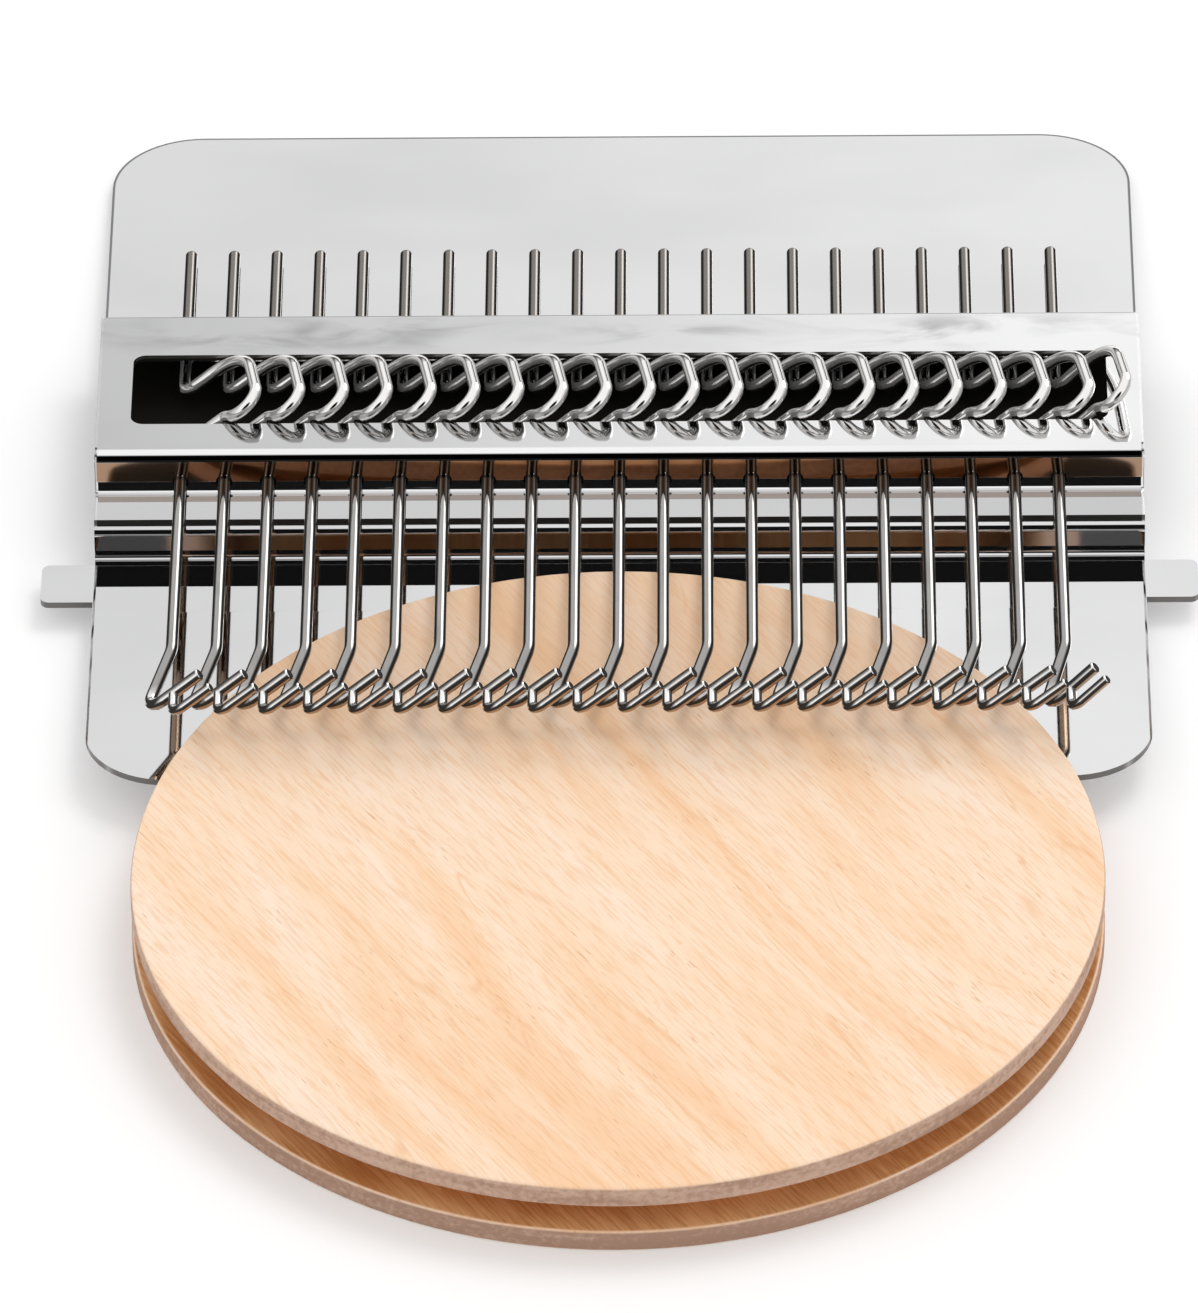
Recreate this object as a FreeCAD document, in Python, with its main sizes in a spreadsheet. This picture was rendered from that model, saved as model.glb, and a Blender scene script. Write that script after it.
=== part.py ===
"""Darning loom: a stepped base plate, a slotted channel, bent wire hooks and a grooved wooden disc.

Millimetres. +X is right, -Y is the front and +Z is up. The origin is the centre of the disc's
underside, which lies on the table. The plate leans back on its rear edge, with its front in the
disc's groove, so the plate and all it carries share one loom placement. The loom's own origin is
the foot of the plate's step: its Y runs back along the plate and its Z away from the plate.
"""
import FreeCAD, Part
import math
import os

import Sketcher

# The driving dimensions, in millimetres, degrees or counts
DIMENSIONS = {
    # the wooden disc, turned from one blank
    "disc_margin": 3.0,
    "lower_rim": 2.15,
    "groove_clearance": 0.175,
    "upper_rim": 2.1,
    "groove_depth": 3.5,
    "rim_rounding": 0.35,
    # the base plate, one sheet with a step down to its front level
    "sheet": 0.6,
    "inner_fold": 0.4,
    "side_margin": 3.15,
    "rear_level": 65.9,
    "front_level": 35.3,
    "step_rise": 3.2,
    "rear_corner": 8.5,
    "front_corner": 7.5,
    "ear_reach": 4.75,
    "ear_depth": 6.0,
    "ear_setback": 1.1,
    "ear_corner": 0.8,
    "disc_to_step": 8.2,
    "core_clearance": 0.3,
    "lip_clearance": 0.05,
    # the channel that carries the wires
    "channel_setback": 4.9,
    "channel_depth": 23.3,
    "channel_rise": 5.0,
    "foot_depth": 4.3,
    "slot_width": 11.4,
    "slot_setback": 4.8,
    "slot_margin": 4.6,
    "slot_corner": 1.2,
    "hole_clearance": 0.2,
    # the hooks, each one bent wire that turns about its own straight rod and shank
    "hook_count": 21,
    "hook_pitch": 4.0,
    "wire": 1.1,
    "axis_rise": 1.85,
    "rod_length": 16.5,
    "rod_clearance": 0.2,
    "slot_clearance": 0.45,
    "roof_gap": 2.05,
    "crank_fold": 1.3,
    "back_arc": 4.8,
    "back_drop": 0.7,
    "nose_arc": 1.8,
    "nose_overhang": 1.1,
    "neck_arc": 0.9,
    "neck_drop": 2.25,
    "shank_length": 27.7,
    "shank_bend": 3.0,
    "hook_reach": 35.8,
    "bowl_radius": 1.5,
    "bowl_drop": 0.75,
    "bar_reach": 3.65,
    "rod_rounding": 0.4,
    # the second prong of each hook's fork
    "prong": 0.9,
    "prong_spacing": 3.5,
    "prong_rise": 0.5,
    "prong_bend": 1.2,
    "prong_reach": 5.05,
    "tip_rounding": 0.15,
    # how far the hooks lean over, and how much one may differ from the next
    "lean": 50.0,
    "lean_step": 7.0,
    "slot_end_gap": 0.4,
}
# how far the waste round the plate's outline reaches, in millimetres
WASTE_MARGIN = 5.0
# a cut that takes away less than this many cubic millimetres has missed
LEAST_CUT = 1e-3


class Size:
    """A length or angle that knows its value and the sheet expression that gives it."""

    def __init__(self, value, text):
        self.value = float(value)
        self.text = text

    @classmethod
    def of(cls, other):
        """Return a plain number as a Size, or the Size itself."""
        return other if isinstance(other, Size) else cls(other, repr(float(other)))

    def _join(self, other, sign, value):
        """Return the Size of this one and another, joined by a sign."""
        return Size(value, f"({self.text} {sign} {other.text})")

    def __add__(self, other):
        other = Size.of(other)
        return self._join(other, "+", self.value + other.value)

    def __sub__(self, other):
        other = Size.of(other)
        return self._join(other, "-", self.value - other.value)

    def __mul__(self, other):
        other = Size.of(other)
        return self._join(other, "*", self.value * other.value)

    def __truediv__(self, other):
        other = Size.of(other)
        return self._join(other, "/", self.value / other.value)

    def __neg__(self):
        return Size(-self.value, f"(-{self.text})")

    def bind(self, target, prop):
        """Tie one property of an object to this size's expression."""
        target.setExpression(prop, self.text)


def cosine(angle):
    """Return the cosine of an angle in degrees."""
    return Size(math.cos(math.radians(angle.value)), f"cos({angle.text} * 1 deg)")


class Dims:
    """The sheet of driving dimensions. Each name is also an attribute that gives its Size."""

    def __init__(self, doc):
        self.cells = doc.addObject("Spreadsheet::Sheet", "dims")
        for row, (alias, value) in enumerate(DIMENSIONS.items(), start=1):
            self.cells.set(f"A{row}", alias)
            self.cells.set(f"B{row}", str(value))
            self.cells.setAlias(f"B{row}", alias)
            setattr(self, alias, Size(value, f"dims.{alias}"))
        doc.recompute()

    @property
    def half_row(self):
        """From the middle hook to the last one."""
        return (self.hook_count - 1) * self.hook_pitch / 2

    @property
    def disc_radius(self):
        """The disc stands out a little past the row of hooks at each side."""
        return self.half_row + self.disc_margin

    @property
    def half_plate(self):
        """Half the plate's width, which also is the channel's."""
        return self.half_row + self.slot_margin + self.side_margin

    @property
    def tilt_slope(self):
        """How steeply the loom leans back from the disc's lower rim to the table."""
        drop = self.lower_rim + self.lip_clearance + self.step_rise
        return drop / (self.disc_to_step + self.rear_level)

    @property
    def groove_width(self):
        """The groove takes the leaning plate, from the rim's lip to the plate's front edge."""
        rise = (self.front_level - self.disc_to_step) * self.tilt_slope
        return self.lip_clearance + self.sheet + rise + self.groove_clearance

    @property
    def crank_width(self):
        """The crank loop fits between the slot's long edges, measured between its wires' axes."""
        return self.slot_width - self.wire - self.slot_clearance * 2

    @property
    def crank_reach(self):
        """From the wire's axis to the top of its loop, which clears the roof at full lean."""
        return (self.channel_rise - self.axis_rise + self.wire / 2 + self.roof_gap) / cosine(self.lean)


def checked(doc):
    """Recompute the document and stop if any object in it has failed."""
    doc.recompute()
    for item in doc.Objects:
        if {"Invalid", "Error"} & set(item.State):
            raise RuntimeError(f"{item.Name} failed: {item.State}")


# Sketches: every centre, corner and radius is tied to the sheet

def new_body(doc, label):
    """Start a sub-part, named as its node is."""
    body = doc.addObject("PartDesign::Body", label)
    body.Label = label
    return body


def new_sketch(body, name, plane, offset=None):
    """Start a sketch on one of the body's own origin planes, lifted off it by an optional offset."""
    sketch = body.newObject("Sketcher::SketchObject", name)
    origin_plane = next(item for item in body.Origin.OriginFeatures if item.Role == plane)
    sketch.AttachmentSupport = [(origin_plane, "")]
    sketch.MapMode = "FlatFace"
    if offset is not None:
        sketch.AttachmentOffset = FreeCAD.Placement(FreeCAD.Vector(0, 0, offset.value), FreeCAD.Rotation())
        offset.bind(sketch, "AttachmentOffset.Base.z")
    return sketch


def fix_coordinate(sketch, kind, geometry, point, size):
    """Hold one coordinate of a point at a signed size from the sketch's origin."""
    if size.value < 0:
        ends, size = (geometry, point, -1, 1), -size
    else:
        ends = (-1, 1, geometry, point)
    index = sketch.addConstraint(Sketcher.Constraint(kind, *ends, size.value))
    size.bind(sketch, f"Constraints[{index}]")


def fix_point(sketch, geometry, point, x, y):
    """Hold a point of a sketch at the place that two sizes give."""
    fix_coordinate(sketch, "DistanceX", geometry, point, x)
    fix_coordinate(sketch, "DistanceY", geometry, point, y)


def fix_radius(sketch, geometry, size):
    """Hold the radius of an arc or circle."""
    index = sketch.addConstraint(Sketcher.Constraint("Radius", geometry, size.value))
    size.bind(sketch, f"Constraints[{index}]")


def add_circle(sketch, x, y, radius):
    """Draw one circle."""
    centre = FreeCAD.Vector(x.value, y.value, 0)
    circle = sketch.addGeometry(Part.Circle(centre, FreeCAD.Vector(0, 0, 1), radius.value))
    fix_point(sketch, circle, 3, x, y)
    fix_radius(sketch, circle, radius)


def bend_at(before, corner, after):
    """Return where a path reaches a corner, where it leaves it, and its arc (x, y, radius) if rounded.

    One of the corner's lines is level and the other upright, so the arc's centre is one radius in
    from the corner along both of them.
    """
    x, y = corner[:2]
    if len(corner) == 2:
        place = FreeCAD.Vector(x.value, y.value, 0)
        return place, place, None
    radius = corner[2]
    level_first = abs(before.x - x.value) > abs(before.y - y.value)
    level, upright = (before, after) if level_first else (after, before)
    centre_x = x + radius if level.x > x.value else x - radius
    centre_y = y + radius if upright.y > y.value else y - radius
    on_level = FreeCAD.Vector(centre_x.value, y.value, 0)
    on_upright = FreeCAD.Vector(x.value, centre_y.value, 0)
    reach, leave = (on_level, on_upright) if level_first else (on_upright, on_level)
    return reach, leave, (centre_x, centre_y, radius)


def add_outline(sketch, corners, start=None, end=None):
    """Draw level and upright lines through corners, each (x, y) or, where rounded, (x, y, radius).

    The outline closes, unless a start and an end are given for it to run between. Returns its
    first and last lines.
    """
    places = [FreeCAD.Vector(corner[0].value, corner[1].value, 0) for corner in corners]
    closed = start is None
    befores = [places[-1] if closed else start] + places[:-1]
    afters = places[1:] + [places[0] if closed else end]
    bends = [bend_at(*around) for around in zip(befores, corners, afters)]
    reaches = [bend[0] for bend in bends]
    leaves = [bend[1] for bend in bends]
    if closed:
        leaves = leaves[-1:] + leaves[:-1]
    else:
        leaves = [start] + leaves
        reaches = reaches + [end]
    lines = [sketch.addGeometry(Part.LineSegment(a, b)) for a, b in zip(leaves, reaches)]
    for index, (corner, bend) in enumerate(zip(corners, bends)):
        before, after = lines[index], lines[(index + 1) % len(lines)]
        reach, leave, arc = bend
        if arc is None:
            sketch.addConstraint(Sketcher.Constraint("Coincident", before, 2, after, 1))
            fix_point(sketch, after, 1, *corner)
            continue
        centre = FreeCAD.Vector(arc[0].value, arc[1].value, 0)
        turns_left = (reach - centre).cross(leave - centre).z > 0
        add_arc(sketch, before, after, reach, leave, arc, turns_left)
    return lines[0], lines[-1]


def draw_arc(sketch, arc, start, end):
    """Draw an arc (x, y, radius) anticlockwise from start to end, held by nothing yet."""
    centre = FreeCAD.Vector(arc[0].value, arc[1].value, 0)
    circle = Part.Circle(centre, FreeCAD.Vector(0, 0, 1), arc[2].value)
    angles = [math.atan2(point.y - centre.y, point.x - centre.x) for point in (start, end)]
    return sketch.addGeometry(Part.ArcOfCircle(circle, *angles))


def add_arc(sketch, before, after, start, end, arc, turns_left):
    """Join two lines by an arc (x, y, radius) that runs from start to end, tangent to both."""
    first, last = (start, end) if turns_left else (end, start)
    geometry = draw_arc(sketch, arc, first, last)
    start_point, end_point = (1, 2) if turns_left else (2, 1)
    fix_point(sketch, geometry, 3, *arc[:2])
    fix_radius(sketch, geometry, arc[2])
    sketch.addConstraint(Sketcher.Constraint("Tangent", before, 2, geometry, start_point))
    sketch.addConstraint(Sketcher.Constraint("Tangent", geometry, end_point, after, 1))


# Features

def pad_both_ways(body, name, sketch, length):
    """Raise a sketch by half the length to each side of its plane."""
    pad = body.newObject("PartDesign::Pad", name)
    pad.Profile = sketch
    pad.SideType = "Symmetric"
    length.bind(pad, "Length")
    return pad


def cut(body, name, sketch, depth, reverse=False):
    """Cut a sketch into the body, and stop if nothing came away."""
    doc = body.Document
    doc.recompute()
    whole = body.Shape.Volume
    pocket = body.newObject("PartDesign::Pocket", name)
    pocket.Profile = sketch
    pocket.Reversed = reverse
    depth.bind(pocket, "Length")
    doc.recompute()
    if body.Shape.Volume > whole - LEAST_CUT:
        raise RuntimeError(f"{name} cuts nothing from {body.Label}")
    return pocket


# The wooden disc

def make_disc(doc, dims):
    """Turn the disc: two rims with the groove between them that takes the plate and the cloth."""
    body = new_body(doc, "wooden_disc")
    zero = Size.of(0)
    radius = dims.disc_radius
    core = radius - dims.groove_depth
    groove_floor = dims.lower_rim
    groove_top = groove_floor + dims.groove_width
    top = groove_top + dims.upper_rim
    rounding = dims.rim_rounding
    sketch = new_sketch(body, "disc_profile", "XZ_Plane")
    add_outline(sketch, [
        (zero, zero),
        (radius, zero, rounding),
        (radius, groove_floor, rounding),
        (core, groove_floor),
        (core, groove_top),
        (radius, groove_top, rounding),
        (radius, top, rounding),
        (zero, top),
    ])
    turned = body.newObject("PartDesign::Revolution", "turned_disc")
    turned.Profile = sketch
    turned.ReferenceAxis = (sketch, ["V_Axis"])
    turned.Angle = 360
    return body


# The base plate

def make_plate(doc, dims):
    """Fold the sheet with its step, then trim it to its outline with the ears and the round seat."""
    body = new_body(doc, "base_plate")
    zero = Size.of(0)
    sheet, fold = dims.sheet, dims.inner_fold
    outer_fold = fold + sheet
    half_width = dims.half_plate
    half_span = half_width + dims.ear_reach
    upper = dims.step_rise + sheet
    profile = new_sketch(body, "plate_profile", "YZ_Plane")
    add_outline(profile, [
        (-dims.front_level, zero),
        (-dims.front_level, sheet),
        (zero, sheet, fold),
        (zero, upper, outer_fold),
        (dims.rear_level, upper),
        (dims.rear_level, dims.step_rise),
        (sheet, dims.step_rise, fold),
        (sheet, zero, outer_fold),
    ])
    pad_both_ways(body, "folded_sheet", profile, half_span * 2)

    margin = Size.of(WASTE_MARGIN)
    waste = new_sketch(body, "waste_outline", "XY_Plane")
    waste_x = half_span + margin
    waste_front = -(dims.front_level + margin)
    waste_rear = dims.rear_level + margin
    add_outline(waste, [
        (-waste_x, waste_front),
        (waste_x, waste_front),
        (waste_x, waste_rear),
        (-waste_x, waste_rear),
    ])
    add_plate_outline(waste, dims, half_width, half_span)
    cut(body, "trimmed_sheet", waste, upper, reverse=True)
    return body


def add_plate_outline(sketch, dims, half_width, half_span):
    """Draw the plate's outline, from one end of the round seat round the plate to its other end."""
    front = -dims.front_level
    ear_rear = -dims.ear_setback
    ear_front = ear_rear - dims.ear_depth
    seat_radius = dims.disc_radius - dims.groove_depth + dims.core_clearance
    seat_centre = -(dims.disc_radius + dims.disc_to_step)
    seat_half = math.sqrt(seat_radius.value ** 2 - (front.value - seat_centre.value) ** 2)

    path = [
        (half_width, front, dims.front_corner),
        (half_width, ear_front),
        (half_span, ear_front, dims.ear_corner),
        (half_span, ear_rear, dims.ear_corner),
        (half_width, ear_rear),
        (half_width, dims.rear_level, dims.rear_corner),
    ]
    mirrored = [(-corner[0],) + corner[1:] for corner in reversed(path)]
    seat_right = FreeCAD.Vector(seat_half, front.value, 0)
    seat_left = FreeCAD.Vector(-seat_half, front.value, 0)
    first, last = add_outline(sketch, path + mirrored, seat_right, seat_left)
    zero = Size.of(0)
    seat = draw_arc(sketch, (zero, seat_centre, seat_radius), seat_right, seat_left)
    fix_point(sketch, seat, 3, zero, seat_centre)
    fix_radius(sketch, seat, seat_radius)
    sketch.addConstraint(Sketcher.Constraint("Coincident", seat, 1, first, 1))
    sketch.addConstraint(Sketcher.Constraint("Coincident", seat, 2, last, 2))
    for line, point in ((first, 1), (last, 2)):
        fix_coordinate(sketch, "DistanceY", line, point, front)


# The channel

def make_channel(doc, dims):
    """Fold the channel on the plate's rear level, then cut its slot and pierce its two webs."""
    body = new_body(doc, "hook_channel")
    sheet, fold = dims.sheet, dims.inner_fold
    outer_fold = fold + sheet
    floor = dims.step_rise + sheet
    roof = floor + dims.channel_rise
    front = dims.channel_setback
    rear = front + dims.channel_depth
    profile = new_sketch(body, "channel_profile", "YZ_Plane")
    add_outline(profile, [
        (front - dims.foot_depth, floor),
        (front - dims.foot_depth, floor + sheet),
        (front, floor + sheet, fold),
        (front, roof, outer_fold),
        (rear, roof, outer_fold),
        (rear, floor),
        (rear - sheet, floor),
        (rear - sheet, roof - sheet, fold),
        (front + sheet, roof - sheet, fold),
        (front + sheet, floor, outer_fold),
    ])
    pad_both_ways(body, "folded_channel", profile, dims.half_plate * 2)

    slot_x = dims.half_row + dims.slot_margin
    slot_front = front + dims.slot_setback
    slot_rear = slot_front + dims.slot_width
    slot = new_sketch(body, "slot_outline", "XY_Plane", roof)
    add_outline(slot, [
        (-slot_x, slot_front, dims.slot_corner),
        (slot_x, slot_front, dims.slot_corner),
        (slot_x, slot_rear, dims.slot_corner),
        (-slot_x, slot_rear, dims.slot_corner),
    ])
    through_roof = sheet * 2
    cut(body, "slot", slot, through_roof)

    # an upright sketch of this plane faces the front, so its offsets run forwards
    for side, face, rise in (("front", front, Size.of(0)), ("rear", rear - sheet, axis_fall(dims))):
        pierce_web(body, dims, side, face, floor + dims.axis_rise - rise)
    return body


def axis_fall(dims):
    """How far the wires' axes come down between the channel's two webs."""
    tip_rise = dims.wire / 2 + dims.rod_clearance
    return (dims.axis_rise - tip_rise) * dims.channel_depth / (dims.channel_depth + dims.rod_length)


def pierce_web(body, dims, side, face, height):
    """Make the row of round holes that the wires turn in, through one web of the channel."""
    first_x = -dims.half_row
    radius = dims.wire / 2 + dims.hole_clearance
    sketch = new_sketch(body, f"{side}_hole", "XZ_Plane", -face)
    add_circle(sketch, first_x, height, radius)
    hole = cut(body, f"{side}_hole_cut", sketch, dims.sheet)
    single = body.Shape.Volume
    row = body.newObject("PartDesign::LinearPattern", f"{side}_holes")
    row.Originals = [hole]
    row.Direction = (sketch, ["H_Axis"])
    (dims.half_row * 2).bind(row, "Length")
    dims.hook_count.bind(row, "Occurrences")
    body.Tip = row
    body.Document.recompute()
    if body.Shape.Volume > single - LEAST_CUT:
        raise RuntimeError(f"the {side} row of holes cuts nothing")


# The hooks

def make_hook(doc, dims, number):
    """Bend one wire: rod end, crank loop, shank, bowl and bar, all in one plane, and fork its tip.

    The wire's own X runs forwards along its axis from the front web, and Y towards its crank.
    """
    body = new_body(doc, f"hook_{number:02d}")
    zero = Size.of(0)
    rod_x = -(dims.channel_depth + dims.rod_length)
    path = new_sketch(body, f"wire_path_{number:02d}", "XY_Plane")
    draw_wire(path, dims, rod_x)
    section = new_sketch(body, f"wire_section_{number:02d}", "YZ_Plane", rod_x)
    add_circle(section, zero, zero, dims.wire / 2)
    sweep(body, f"bent_wire_{number:02d}", section, path)

    prong_x = dims.hook_reach + dims.prong_spacing
    prong_path = new_sketch(body, f"prong_path_{number:02d}", "XY_Plane")
    draw_prong(prong_path, dims, prong_x)
    prong_section = new_sketch(body, f"prong_section_{number:02d}", "YZ_Plane", dims.hook_reach)
    add_circle(prong_section, dims.prong_rise, zero, dims.prong / 2)
    sweep(body, f"prong_{number:02d}", prong_section, prong_path)

    round_ends(body, f"rounded_rod_end_{number:02d}", [(rod_x, zero)], dims.rod_rounding)
    tips = [(dims.hook_reach, dims.bar_reach), (prong_x, dims.prong_reach)]
    round_ends(body, f"rounded_tips_{number:02d}", tips, dims.tip_rounding)
    return body


def sweep(body, name, section, path):
    """Add the pipe that a section makes along a path."""
    pipe = body.newObject("PartDesign::AdditivePipe", name)
    pipe.Profile = section
    pipe.Spine = path
    body.Document.recompute()


def round_ends(body, name, places, radius):
    """Round the rims of the wire ends that lie at some places (x, y) of the hook's plane."""
    bare = body.Tip
    rims = [nearest_edge(bare.Shape, FreeCAD.Vector(x.value, y.value, 0)) for x, y in places]
    rounded = body.newObject("PartDesign::Fillet", name)
    rounded.Base = (bare, rims)
    radius.bind(rounded, "Radius")
    body.Document.recompute()


def nearest_edge(shape, place):
    """Return the name of the edge whose centre of mass is nearest to a place."""
    gaps = [(edge.CenterOfMass - place).Length for edge in shape.Edges]
    return f"Edge{gaps.index(min(gaps)) + 1}"


def draw_wire(path, dims, rod_x):
    """Draw the wire's centre line as straight runs that touch arcs with fixed centres.

    The crank is a loop in the slot. Its back is a wide arc, and its nose leans forwards over the
    slot's front edge.
    """
    zero = Size.of(0)
    fold = dims.crank_fold
    front_leg = -(dims.slot_setback + dims.slot_clearance + dims.wire / 2)
    rear_leg = front_leg - dims.crank_width
    back_y = dims.crank_reach - dims.back_drop - dims.back_arc
    nose_x = front_leg + dims.nose_overhang - dims.nose_arc
    nose_y = dims.crank_reach - dims.nose_arc
    # each bend is its centre, its radius and whether it turns to the left
    bends = [
        (rear_leg - fold, fold, fold, True),
        (rear_leg + dims.back_arc, back_y, dims.back_arc, False),
        (nose_x, nose_y, dims.nose_arc, False),
        (front_leg + dims.neck_arc, nose_y - dims.neck_drop, dims.neck_arc, True),
        (front_leg + fold, fold, fold, True),
        (dims.shank_length, -dims.shank_bend, dims.shank_bend, False),
        (dims.hook_reach - dims.bowl_radius, -dims.bowl_drop, dims.bowl_radius, True),
    ]
    circles = [(b[0].value, b[1].value, b[2].value, b[3]) for b in bends]
    rod_end = FreeCAD.Vector(rod_x.value, 0, 0)
    bar_foot = FreeCAD.Vector(dims.hook_reach.value, -dims.bowl_drop.value, 0)
    bar_end = FreeCAD.Vector(dims.hook_reach.value, dims.bar_reach.value, 0)
    touches = [(rod_end, FreeCAD.Vector(circles[0][0], 0, 0))]
    touches += [common_tangent(a, b) for a, b in zip(circles, circles[1:])]
    touches.append((bar_foot, bar_end))
    lines = [path.addGeometry(Part.LineSegment(a, b)) for a, b in touches]
    fix_point(path, lines[0], 1, rod_x, zero)
    path.addConstraint(Sketcher.Constraint("Horizontal", lines[0]))
    fix_point(path, lines[-1], 2, dims.hook_reach, dims.bar_reach)
    for index, (x, y, radius, left) in enumerate(bends):
        begin, end = touches[index][1], touches[index + 1][0]
        before, after = lines[index], lines[index + 1]
        if index:
            add_arc(path, before, after, begin, end, (x, y, radius), left)
        else:
            add_first_bend(path, before, after, begin, end, (x, radius))


def draw_prong(path, dims, prong_x):
    """Draw the second prong's centre line: out of the bar, forwards, and then up beside it."""
    root = FreeCAD.Vector(dims.hook_reach.value, dims.prong_rise.value, 0)
    tip = FreeCAD.Vector(prong_x.value, dims.prong_reach.value, 0)
    first, last = add_outline(path, [(prong_x, dims.prong_rise, dims.prong_bend)], root, tip)
    fix_point(path, first, 1, dims.hook_reach, dims.prong_rise)
    fix_point(path, last, 2, prong_x, dims.prong_reach)


def add_first_bend(path, before, after, begin, end, bend):
    """Draw the bend off the rod: its line already lies on the axis, so only its X and radius are set."""
    centre_x, radius = bend
    arc = draw_arc(path, (centre_x, radius, radius), begin, end)
    path.addConstraint(Sketcher.Constraint("Tangent", before, 2, arc, 1))
    path.addConstraint(Sketcher.Constraint("Tangent", arc, 2, after, 1))
    fix_coordinate(path, "DistanceX", arc, 3, centre_x)
    fix_radius(path, arc, radius)


def common_tangent(first, second):
    """Return where a path touches two circles (x, y, radius, left) as it leaves one for the next."""
    gap = FreeCAD.Vector(second[0] - first[0], second[1] - first[1], 0)
    side_first = -1 if first[3] else 1
    side_second = -1 if second[3] else 1
    offset = side_first * first[2] - side_second * second[2]
    heading = math.atan2(gap.y, gap.x) - math.asin(offset / gap.Length)
    left_normal = FreeCAD.Vector(-math.sin(heading), math.cos(heading), 0)
    start = FreeCAD.Vector(first[0], first[1], 0) + left_normal * side_first * first[2]
    end = FreeCAD.Vector(second[0], second[1], 0) + left_normal * side_second * second[2]
    return start, end


# Where things lie

def loom_placement(dims):
    """Lean the loom back: its underside on the disc's lower rim and its rear edge on the table."""
    run = dims.disc_to_step.value + dims.rear_level.value
    rise = dims.step_rise.value
    lift = dims.lower_rim.value + dims.lip_clearance.value
    tilt = math.asin(lift / math.hypot(run, rise)) + math.atan2(rise, run)
    lip = dims.disc_to_step.value
    origin = FreeCAD.Vector(0, dims.disc_radius.value + lip * math.cos(tilt), lift - lip * math.sin(tilt))
    return FreeCAD.Placement(origin, FreeCAD.Rotation(FreeCAD.Vector(1, 0, 0), -math.degrees(tilt)))


def axis_slope(dims):
    """The angle between the wires' axes and the plate, in radians."""
    return math.atan(axis_fall(dims).value / dims.channel_depth.value)


def hook_leans(dims):
    """Return each hook's lean to the right at rest, in degrees.

    The last hook stops at the slot's end, and those next to it lean on it in turn.
    """
    behind_web = dims.slot_setback.value + (dims.slot_width.value + dims.crank_width.value) / 2
    height = dims.channel_rise.value - dims.axis_rise.value + behind_web * math.tan(axis_slope(dims))
    room = dims.slot_margin.value - dims.slot_end_gap.value
    slant = math.acos(dims.wire.value / 2 / math.hypot(room, height)) - math.atan2(height, room)
    count = int(dims.hook_count.value)
    limits = [math.degrees(slant) + dims.lean_step.value * (count - 1 - index) for index in range(count)]
    return [min(dims.lean.value, limit) for limit in limits]


def hook_placement(dims, index, lean):
    """Place one hook in the loom, leaning by an angle in degrees to the right."""
    slope = axis_slope(dims)
    forward = FreeCAD.Vector(0, -math.cos(slope), math.sin(slope))
    upward = FreeCAD.Vector(0, math.sin(slope), math.cos(slope))
    sideways = FreeCAD.Vector(1, 0, 0)
    crank = sideways * math.sin(math.radians(lean)) + upward * math.cos(math.radians(lean))
    turn = FreeCAD.Rotation(forward, crank, forward.cross(crank), "XYZ")
    x = index * dims.hook_pitch.value - dims.half_row.value
    rise = dims.step_rise.value + dims.sheet.value + dims.axis_rise.value
    return FreeCAD.Placement(FreeCAD.Vector(x, dims.channel_setback.value, rise), turn)


def build():
    """Build the whole loom and write each sub-part's solid."""
    doc = FreeCAD.newDocument("darning_loom")
    dims = Dims(doc)
    loom = loom_placement(dims)
    plate = make_plate(doc, dims)
    channel = make_channel(doc, dims)
    plate.Placement = loom
    channel.Placement = loom
    bodies = [make_disc(doc, dims), plate, channel]
    for index, lean in enumerate(hook_leans(dims)):
        hook = make_hook(doc, dims, index + 1)
        hook.Placement = loom.multiply(hook_placement(dims, index, lean))
        bodies.append(hook)
    checked(doc)

    os.makedirs("parts", exist_ok=True)
    for body in bodies:
        if body.Shape.isNull() or not body.Shape.isValid() or len(body.Shape.Solids) != 1:
            raise RuntimeError(f"{body.Label} is not one valid solid")
        body.Shape.exportStep(f"parts/{body.Label}.step")
    print(f"{len(bodies)} sub-parts written")


build()
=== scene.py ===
"""Darning loom: the finishes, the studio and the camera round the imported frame.

Metres, in the CAD's own frame: +X is right, -Y is the front and +Z is up, with the origin under the
middle of the wooden disc, on the table.
"""
import logging
import math
from dataclasses import dataclass
from enum import Enum

import bpy
from mathutils import Matrix, Vector

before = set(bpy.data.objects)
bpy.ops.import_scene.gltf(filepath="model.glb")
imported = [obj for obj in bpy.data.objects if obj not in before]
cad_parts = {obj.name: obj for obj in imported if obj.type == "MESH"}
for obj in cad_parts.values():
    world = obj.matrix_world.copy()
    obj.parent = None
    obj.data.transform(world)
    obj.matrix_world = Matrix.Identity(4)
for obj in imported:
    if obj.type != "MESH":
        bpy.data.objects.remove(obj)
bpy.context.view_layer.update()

MM = 0.001
MIDDLE = 0.5  # the middle of a pattern's values
PAST_CHANNEL = 99.0  # a place past the channel on any side, in millimetres
LEVEL = (1.0, 1.0, 0.0)  # takes the height out of a place
MIX_FACTOR, MIX_FIRST, MIX_SECOND, MIX_RESULT = 0, 6, 7, 2  # a Mix node's sockets for colours
Triple = tuple[float, float, float]
Pair = tuple[float, float]
log = logging.getLogger("darning_loom")


class Axis(Enum):
    """An axis of the object's own coordinates."""

    X = "X"
    Y = "Y"
    Z = "Z"


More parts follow.
